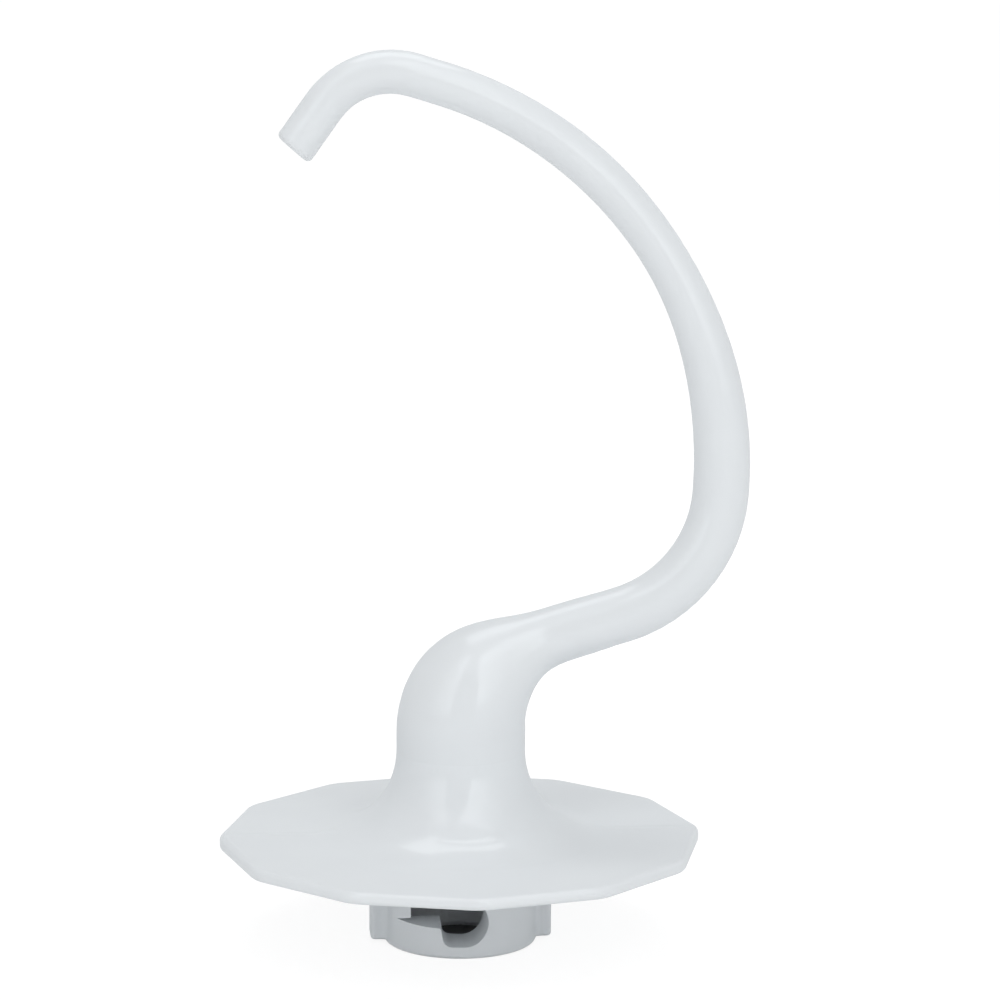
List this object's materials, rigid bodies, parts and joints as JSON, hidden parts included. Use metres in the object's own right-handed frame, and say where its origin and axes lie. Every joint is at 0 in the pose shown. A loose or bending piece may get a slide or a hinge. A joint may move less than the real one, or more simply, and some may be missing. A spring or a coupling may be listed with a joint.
{
  "type": "stand mixer dough hook",
  "caption": "Cast C-shaped dough hook with a many-sided shield plate and a bayonet hub that slides onto a stand mixer's drive shaft.",
  "frame": {"origin": "on the drive shaft's axis, in the plane of the hub's open end", "axes": "+Z along the shaft's axis from the hub's open end towards the hook, +X towards the hook's large curve, XZ is the plane the hook bends in"},
  "size_m": [0.0982, 0.0894, 0.1648],
  "materials": {
    "white_coating": "smooth glossy white coating on cast aluminium"
  },
  "bodies": {
    "root": {"dough_hook": "white_coating"}
  },
  "joints": []
}
